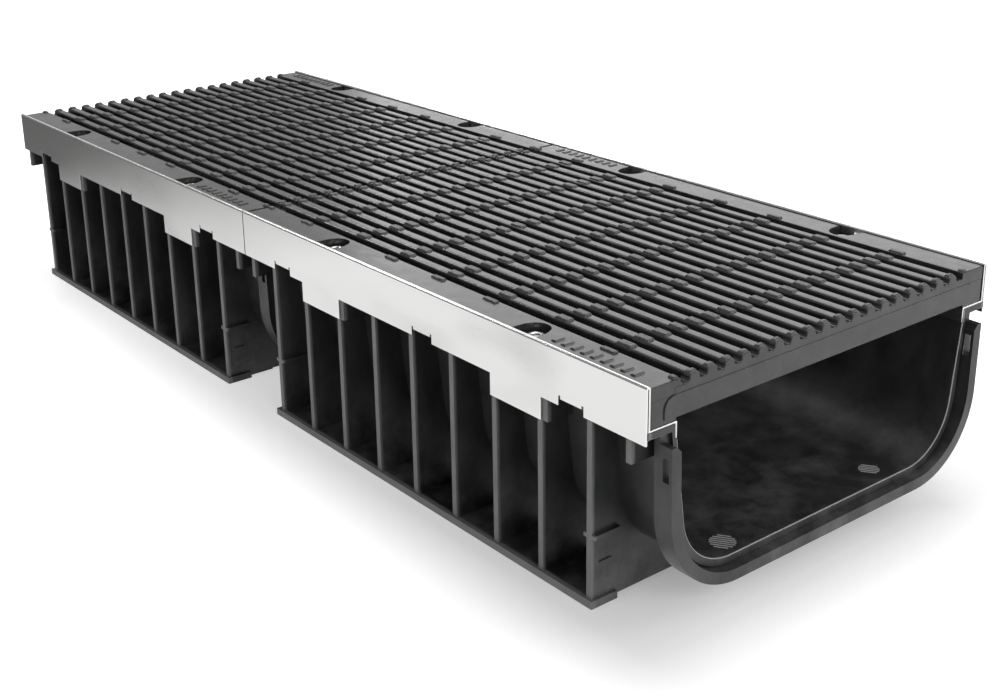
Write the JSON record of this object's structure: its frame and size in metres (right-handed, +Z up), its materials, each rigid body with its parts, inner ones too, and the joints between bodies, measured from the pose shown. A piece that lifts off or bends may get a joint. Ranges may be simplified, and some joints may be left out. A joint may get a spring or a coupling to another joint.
{
  "type": "channel drain",
  "caption": "Heavy-duty linear channel drain: joined moulded U-channels with ribbed walls and a socket end, folded steel edge rails and bolted slotted cast-iron grates.",
  "frame": {"origin": "centre of the bounding box in X and Y, at the level the feet stand on", "axes": "+X along the channel towards the socket collar, +Y towards the rail on the left when looking along +X, +Z up"},
  "size_m": [1.008, 0.36, 0.18],
  "materials": {
    "channel_polypropylene": "satin black moulded polypropylene",
    "rail_stainless_steel": "satin stainless sheet",
    "grate_cast_iron": "semi-gloss black coating on rough casting",
    "bolt_steel": "bright stainless",
    "nut_steel": "plain zinc plated"
  },
  "bodies": {
    "root": {"channel_spigot_end": "channel_polypropylene", "left_rail_spigot_end": "rail_stainless_steel", "right_rail_spigot_end": "rail_stainless_steel", "grate_spigot_end": "grate_cast_iron", "grate_bolts_spigot_end": "bolt_steel", "nut_plates_spigot_end": "nut_steel", "channel_socket_end": "channel_polypropylene", "left_rail_socket_end": "rail_stainless_steel", "right_rail_socket_end": "rail_stainless_steel", "grate_socket_end": "grate_cast_iron", "grate_bolts_socket_end": "bolt_steel", "nut_plates_socket_end": "nut_steel"}
  },
  "joints": []
}
